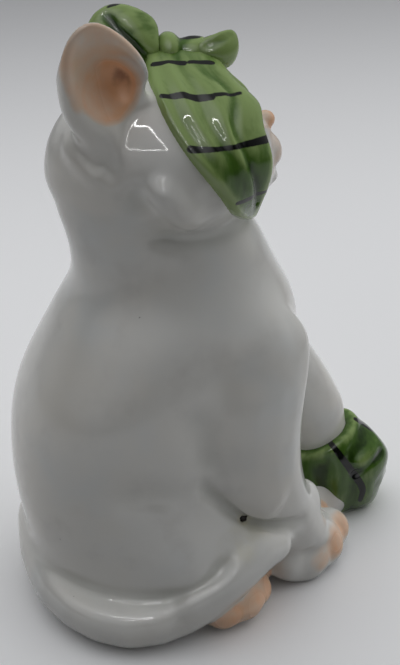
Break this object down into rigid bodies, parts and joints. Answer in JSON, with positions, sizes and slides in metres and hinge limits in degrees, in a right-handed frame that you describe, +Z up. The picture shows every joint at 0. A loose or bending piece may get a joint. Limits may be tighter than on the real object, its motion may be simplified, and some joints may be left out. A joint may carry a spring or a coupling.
{
  "type": "ceramic kitten figurine",
  "caption": "Sitting kitten of white glazed ceramic with a green checked bandage round its head, tied in a bow, and a bandaged forepaw. A free-standing shelf ornament.",
  "frame": {"origin": "on the floor plane, under the middle of the figurine's bounding box", "axes": "+Z up; the kitten faces -Y; +X is the kitten's left side"},
  "size_m": [0.0836, 0.111, 0.1594],
  "materials": {
    "white_glaze": "clear gloss glaze over a white body, with peach pink brushwork on ears, nose and toes",
    "green_glaze": "leaf green underglaze wash with black brushed check lines under a clear gloss glaze"
  },
  "bodies": {
    "root": {"torso": "white_glaze", "head": "white_glaze", "right_ear": "white_glaze", "left_ear": "white_glaze", "head_bandage": "green_glaze", "bow_knot": "green_glaze", "bow_loop_rear": "green_glaze", "bow_loop_front": "green_glaze", "right_foreleg": "white_glaze", "left_foreleg": "white_glaze", "paw_bandage": "green_glaze", "right_hind_foot": "white_glaze", "left_hind_foot": "white_glaze", "tail": "white_glaze"}
  },
  "joints": []
}
